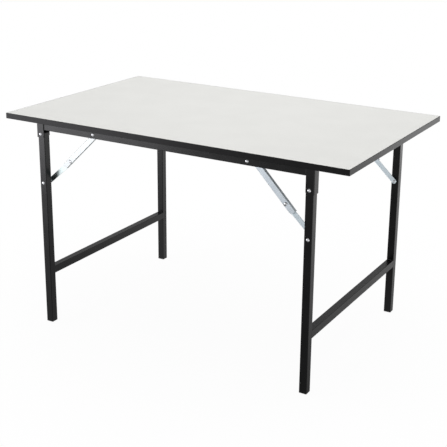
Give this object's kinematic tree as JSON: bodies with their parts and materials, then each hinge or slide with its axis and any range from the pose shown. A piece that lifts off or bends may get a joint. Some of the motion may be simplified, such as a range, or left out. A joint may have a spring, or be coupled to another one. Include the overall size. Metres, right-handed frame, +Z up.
{
  "type": "folding multipurpose table",
  "caption": "Rectangular white laminate table with a black edge, black square steel legs that fold under the top and zinc plated locking stays.",
  "frame": {"origin": "on the floor under the middle of the tabletop", "axes": "X along the long side, right positive; -Y is the front; +Z up"},
  "size_m": [1.27, 0.77, 0.75],
  "materials": {
    "white_laminate": "fine matte laminate",
    "board_wood": "raw fibreboard",
    "backing_laminate": "matte balancing sheet",
    "black_edge": "satin edge band",
    "black_steel": "satin black powder coat",
    "stay_zinc": "bright blue zinc plate",
    "fastener_zinc": "bright zinc plate",
    "washer_zinc": "zinc plate",
    "screw_zinc": "zinc plate",
    "black_plastic": "moulded matte"
  },
  "bodies": {
    "tabletop": {"core_board": "board_wood", "top_laminate": "white_laminate", "backing_sheet": "backing_laminate", "board_screws": "screw_zinc", "edge_band_front": "black_edge", "edge_band_rear": "black_edge", "edge_band_left": "black_edge", "edge_band_right": "black_edge", "rail_front": "black_steel", "rail_rear": "black_steel", "cross_rail_left": "black_steel", "cross_rail_right": "black_steel", "pivot_nuts_left": "fastener_zinc", "rail_bolts_left": "fastener_zinc", "rail_nuts_left": "fastener_zinc", "rail_washers_left": "washer_zinc", "bracket_left_front": "black_steel", "pivot_bolt_left_front": "fastener_zinc", "bracket_left_rear": "black_steel", "pivot_bolt_left_rear": "fastener_zinc", "pivot_nuts_right": "fastener_zinc", "rail_bolts_right": "fastener_zinc", "rail_nuts_right": "fastener_zinc", "rail_washers_right": "washer_zinc", "bracket_right_front": "black_steel", "pivot_bolt_right_front": "fastener_zinc", "bracket_right_rear": "black_steel", "pivot_bolt_right_rear": "fastener_zinc"},
    "left_leg_frame": {"leg_left_front": "black_steel", "leg_left_rear": "black_steel", "foot_cap_left_front": "black_plastic", "foot_cap_left_rear": "black_plastic", "stretcher_left": "black_steel", "leg_bolts_left": "fastener_zinc", "leg_spacers_left": "washer_zinc"},
    "upper_stay_left_front": {"upper_arm_left_front": "stay_zinc", "elbow_rivet_left_front": "fastener_zinc"},
    "lower_stay_left_front": {"lower_arm_left_front": "stay_zinc", "end_rivet_left_front": "fastener_zinc"},
    "upper_stay_left_rear": {"upper_arm_left_rear": "stay_zinc", "elbow_rivet_left_rear": "fastener_zinc"},
    "lower_stay_left_rear": {"lower_arm_left_rear": "stay_zinc", "end_rivet_left_rear": "fastener_zinc"},
    "right_leg_frame": {"leg_right_front": "black_steel", "leg_right_rear": "black_steel", "foot_cap_right_front": "black_plastic", "foot_cap_right_rear": "black_plastic", "stretcher_right": "black_steel", "leg_bolts_right": "fastener_zinc", "leg_spacers_right": "washer_zinc"},
    "upper_stay_right_front": {"upper_arm_right_front": "stay_zinc", "elbow_rivet_right_front": "fastener_zinc"},
    "lower_stay_right_front": {"lower_arm_right_front": "stay_zinc", "end_rivet_right_front": "fastener_zinc"},
    "upper_stay_right_rear": {"upper_arm_right_rear": "stay_zinc", "elbow_rivet_right_rear": "fastener_zinc"},
    "lower_stay_right_rear": {"lower_arm_right_rear": "stay_zinc", "end_rivet_right_rear": "fastener_zinc"}
  },
  "joints": [
    {"name": "left_leg_fold", "type": "hinge", "parent": "tabletop", "child": "left_leg_frame", "pos_m": [-0.50235, 0, 0.68985], "axis": [0, -1, 0], "range_deg": [0, 90]},
    {"name": "left_front_stay_swing", "type": "hinge", "parent": "tabletop", "child": "upper_stay_left_front", "pos_m": [-0.28342, -0.3505, 0.7175], "axis": [0, -1, 0], "range_deg": [-43.85, 0]},
    {"name": "left_front_stay_elbow", "type": "hinge", "parent": "upper_stay_left_front", "child": "lower_stay_left_front", "pos_m": [-0.40604, -0.3505, 0.59976], "axis": [0, -1, 0], "range_deg": [0, 170.59]},
    {"name": "left_rear_stay_swing", "type": "hinge", "parent": "tabletop", "child": "upper_stay_left_rear", "pos_m": [-0.28342, 0.3505, 0.7175], "axis": [0, -1, 0], "range_deg": [-43.85, 0]},
    {"name": "left_rear_stay_elbow", "type": "hinge", "parent": "upper_stay_left_rear", "child": "lower_stay_left_rear", "pos_m": [-0.40604, 0.3505, 0.59976], "axis": [0, -1, 0], "range_deg": [0, 170.59]},
    {"name": "right_leg_fold", "type": "hinge", "parent": "tabletop", "child": "right_leg_frame", "pos_m": [0.50235, 0, 0.66105], "axis": [0, 1, 0], "range_deg": [0, 90]},
    {"name": "right_front_stay_swing", "type": "hinge", "parent": "tabletop", "child": "upper_stay_right_front", "pos_m": [0.29252, -0.3505, 0.7175], "axis": [0, 1, 0], "range_deg": [-46.39, 0]},
    {"name": "right_front_stay_elbow", "type": "hinge", "parent": "upper_stay_right_front", "child": "lower_stay_right_front", "pos_m": [0.40981, -0.3505, 0.59444], "axis": [0, 1, 0], "range_deg": [0, 156.77]},
    {"name": "right_rear_stay_swing", "type": "hinge", "parent": "tabletop", "child": "upper_stay_right_rear", "pos_m": [0.29252, 0.3505, 0.7175], "axis": [0, 1, 0], "range_deg": [-46.39, 0]},
    {"name": "right_rear_stay_elbow", "type": "hinge", "parent": "upper_stay_right_rear", "child": "lower_stay_right_rear", "pos_m": [0.40981, 0.3505, 0.59444], "axis": [0, 1, 0], "range_deg": [0, 156.77]}
  ],
  "couplings": [
    {"joint": "left_front_stay_swing", "follows": "left_leg_fold", "ratio": -0.48708},
    {"joint": "left_front_stay_elbow", "follows": "left_leg_fold", "ratio": 1.8953},
    {"joint": "left_rear_stay_swing", "follows": "left_leg_fold", "ratio": -0.48708},
    {"joint": "left_rear_stay_elbow", "follows": "left_leg_fold", "ratio": 1.8953},
    {"joint": "right_front_stay_swing", "follows": "right_leg_fold", "ratio": -0.51531},
    {"joint": "right_front_stay_elbow", "follows": "right_leg_fold", "ratio": 1.7418},
    {"joint": "right_rear_stay_swing", "follows": "right_leg_fold", "ratio": -0.51531},
    {"joint": "right_rear_stay_elbow", "follows": "right_leg_fold", "ratio": 1.7418}
  ]
}
